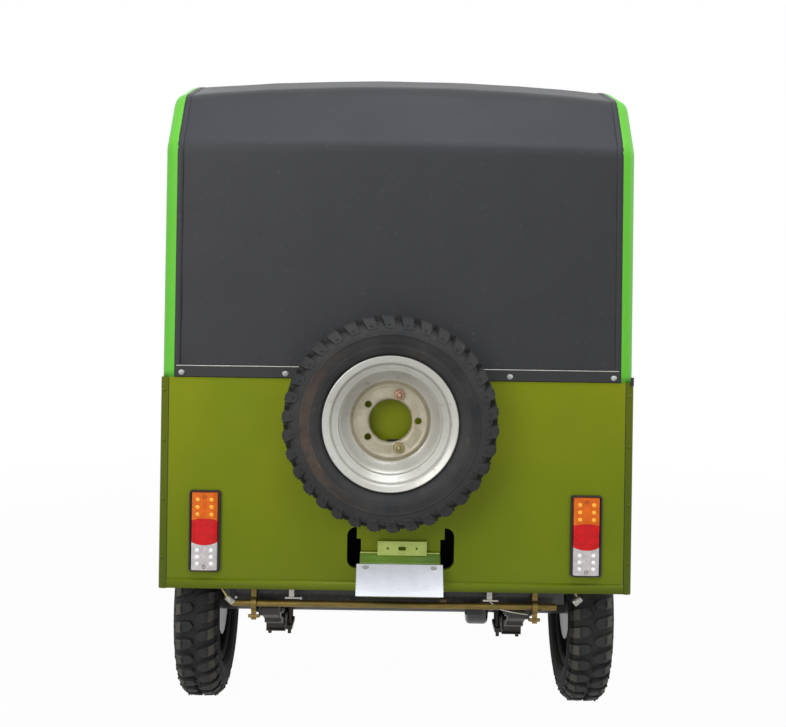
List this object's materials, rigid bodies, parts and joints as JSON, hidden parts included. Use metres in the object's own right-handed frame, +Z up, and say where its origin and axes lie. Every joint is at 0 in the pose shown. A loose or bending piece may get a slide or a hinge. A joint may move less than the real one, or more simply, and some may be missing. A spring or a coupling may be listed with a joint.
{
  "type": "auto rickshaw",
  "caption": "Three-wheeled passenger rickshaw with a fabric canopy, open sides, steered front wheel, leaf sprung rear axle and a spare wheel on the rear panel.",
  "frame": {"origin": "on the ground, under the middle of the overall length and width", "axes": "+X to the vehicle's right, +Y forward, +Z up"},
  "size_m": [1.216, 2.86, 1.7814],
  "materials": {
    "olive_paint": "gloss",
    "black_paint": "satin",
    "floor_paint": "matte",
    "black_plastic": "matte",
    "amber_lens": "gloss",
    "red_lens": "gloss",
    "clear_lens": "gloss",
    "plate_white": "gloss",
    "primer_paint": "satin",
    "zinc_steel": "satin",
    "silver_paint": "satin",
    "tyre_rubber": "matte",
    "black_fabric": "matte",
    "green_fabric": "satin",
    "window_glass": "gloss",
    "chrome_trim": "gloss",
    "spring_steel": "satin",
    "yellow_zinc": "satin",
    "seat_vinyl": "satin",
    "black_rubber": "matte"
  },
  "bodies": {
    "body": {"chassis_frame": "black_paint", "floor_pan": "floor_paint", "sills": "olive_paint", "quarter_panels": "olive_paint", "wheel_tubs": "black_paint", "rear_panel": "olive_paint", "tail_lamp_bezels": "black_plastic", "tail_lens_amber": "amber_lens", "tail_lens_red": "red_lens", "tail_lens_clear": "clear_lens", "plate_bracket": "olive_paint", "number_plate": "plate_white", "plate_lamp_tab": "primer_paint", "spare_carrier": "black_paint", "spare_nuts": "zinc_steel", "rim_spare": "silver_paint", "tyre_spare": "tyre_rubber", "curtain_clamp_strip": "black_plastic", "canopy_roof": "black_fabric", "canopy_rear_curtain": "black_fabric", "canopy_sides": "green_fabric", "canopy_header": "black_paint", "canopy_frame": "black_paint", "windscreen_frame": "black_paint", "windscreen_glass": "window_glass", "nose_cowl": "olive_paint", "foot_bulkhead": "olive_paint", "dashboard": "black_plastic", "front_lamp_housings": "chrome_trim", "headlamp_lenses": "clear_lens", "indicator_lenses": "amber_lens", "rear_axle": "black_paint", "brake_cam_arms": "yellow_zinc", "leaf_springs": "spring_steel", "spring_clamps": "spring_steel", "brake_cross_shaft": "yellow_zinc", "battery_block": "black_plastic", "passenger_seat_base": "black_paint", "passenger_cushion": "seat_vinyl", "passenger_backrest": "seat_vinyl", "rear_deck": "black_paint", "driver_seat_base": "black_paint", "driver_cushion": "seat_vinyl", "driver_backrest": "seat_vinyl", "partition_hoop": "black_paint", "driver_controls": "black_paint"},
    "steering": {"fork_crown": "black_paint", "fork_sliders": "zinc_steel", "front_mudguard": "black_paint", "handlebar": "black_paint", "handlebar_grips": "black_rubber"},
    "front_wheel": {"tyre_front": "tyre_rubber", "rim_front": "silver_paint", "drum_front": "black_paint"},
    "rear_wheel_left": {"tyre_rear_left": "tyre_rubber", "rim_rear_left": "silver_paint", "drum_rear_left": "black_paint"},
    "rear_wheel_right": {"tyre_rear_right": "tyre_rubber", "rim_rear_right": "silver_paint", "drum_rear_right": "black_paint"}
  },
  "joints": [
    {"name": "steering", "type": "hinge", "parent": "body", "child": "steering", "pos_m": [0, 1.12039, 0.2502], "axis": [0, -0.4067, 0.9135], "range_deg": [-38, 38]},
    {"name": "front_wheel_spin", "type": "hinge", "parent": "steering", "child": "front_wheel", "pos_m": [0, 1.1615, 0.2685], "axis": [1, 0, 0], "continuous": true},
    {"name": "rear_left_spin", "type": "hinge", "parent": "body", "child": "rear_wheel_left", "pos_m": [-0.534, -0.8875, 0.2685], "axis": [1, 0, 0], "continuous": true},
    {"name": "rear_right_spin", "type": "hinge", "parent": "body", "child": "rear_wheel_right", "pos_m": [0.534, -0.8875, 0.2685], "axis": [1, 0, 0], "continuous": true}
  ]
}
